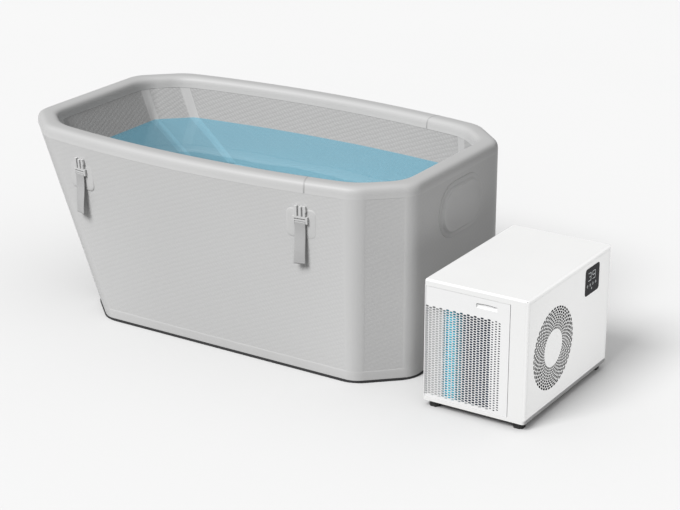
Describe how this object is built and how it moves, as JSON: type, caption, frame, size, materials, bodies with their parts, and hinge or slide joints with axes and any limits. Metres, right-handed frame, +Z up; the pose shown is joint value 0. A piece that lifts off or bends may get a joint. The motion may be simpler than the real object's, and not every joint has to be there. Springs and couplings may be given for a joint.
{
  "type": "cold plunge tub",
  "caption": "Inflatable grey cold plunge tub with a slanted head end, rounded rim and side straps, and a white water chiller with a fan vent standing at its foot.",
  "frame": {"origin": "on the floor under the middle of the tub's rim", "axes": "+X along the tub towards the chiller, +Z up, +Y towards the tub's back"},
  "size_m": [2.0858, 0.964, 0.68],
  "materials": {
    "wall_pvc": "matte",
    "rim_pvc": "satin",
    "sole_rubber": "matte",
    "webbing": "woven",
    "buckle_plastic": "satin",
    "valve_plastic": "satin",
    "port_plastic": "satin",
    "white_metal": "satin",
    "white_plastic": "satin",
    "dark_plastic": "satin",
    "display_glass": "gloss",
    "board": "satin",
    "steel": "satin",
    "blue_fins": "satin",
    "black_metal": "satin",
    "water_pipe": "satin"
  },
  "bodies": {
    "tub": {"wall_front": "wall_pvc", "wall_back": "wall_pvc", "wall_head": "wall_pvc", "wall_foot": "wall_pvc", "corner_head_front": "wall_pvc", "corner_head_back": "wall_pvc", "corner_foot_front": "wall_pvc", "corner_foot_back": "wall_pvc", "floor_panel": "wall_pvc", "end_patch": "wall_pvc", "rim_head": "rim_pvc", "rim_foot": "rim_pvc", "corner_tapes": "rim_pvc", "strap_pads": "rim_pvc", "sole": "sole_rubber", "chiller_feet": "sole_rubber", "straps": "webbing", "valve_body": "valve_plastic", "port_suction": "port_plastic", "port_return": "port_plastic", "fitting_in": "port_plastic", "fitting_out": "port_plastic", "power_inlet": "port_plastic", "cabinet": "white_metal", "chiller_base": "white_metal", "rear_panel": "white_metal", "fan_panel": "white_metal", "fan_shroud": "dark_plastic", "pump": "dark_plastic", "display": "display_glass", "control_board": "board", "fan_bracket": "steel", "fan_motor": "steel", "bulkhead": "steel", "condenser_plates": "steel", "heat_exchanger": "steel", "condenser_core": "blue_fins", "compressor": "black_metal", "water_pipes": "water_pipe"},
    "fan_rotor": {"fan_rotor": "dark_plastic"},
    "intake_door": {"intake_door": "white_plastic"},
    "buckle_front_head": {"buckle_front_head": "buckle_plastic"},
    "buckle_front_foot": {"buckle_front_foot": "buckle_plastic"},
    "buckle_back_head": {"buckle_back_head": "buckle_plastic"},
    "buckle_back_foot": {"buckle_back_foot": "buckle_plastic"},
    "valve_poppet": {"valve_poppet": "valve_plastic"},
    "valve_cap": {"valve_cap": "valve_plastic"}
  },
  "joints": [
    {"name": "fan_spin", "type": "hinge", "parent": "tub", "child": "fan_rotor", "pos_m": [1.262, -0.258, 0.219], "axis": [1, 0, 0], "continuous": true},
    {"name": "door_swing", "type": "hinge", "parent": "tub", "child": "intake_door", "pos_m": [0.929, -0.438, 0.227], "axis": [0, 0, -1], "range_deg": [0, 100]},
    {"name": "buckle_front_head_flip", "type": "hinge", "parent": "tub", "child": "buckle_front_head", "pos_m": [-0.46082, -0.44857, 0.53944], "axis": [0.9927, -0.1204, 0], "range_deg": [0, 85]},
    {"name": "buckle_front_foot_flip", "type": "hinge", "parent": "tub", "child": "buckle_front_foot", "pos_m": [0.46075, -0.45324, 0.53972], "axis": [0.9939, 0.1103, 0], "range_deg": [0, 85]},
    {"name": "buckle_back_head_flip", "type": "hinge", "parent": "tub", "child": "buckle_back_head", "pos_m": [-0.46082, 0.44857, 0.53944], "axis": [-0.9927, -0.1204, 0], "range_deg": [0, 85]},
    {"name": "buckle_back_foot_flip", "type": "hinge", "parent": "tub", "child": "buckle_back_foot", "pos_m": [0.46075, 0.45324, 0.53972], "axis": [-0.9939, 0.1103, 0], "range_deg": [0, 85]},
    {"name": "valve_press", "type": "slide", "parent": "tub", "child": "valve_poppet", "axis": [0.9284, 0, 0.3716], "range_m": [0, 0.006], "stiffness_N_per_m": 800, "springref_m": -0.004},
    {"name": "valve_cap_pull", "type": "slide", "parent": "tub", "child": "valve_cap", "axis": [-0.9284, 0, -0.3716], "range_m": [0, 0.03]}
  ]
}
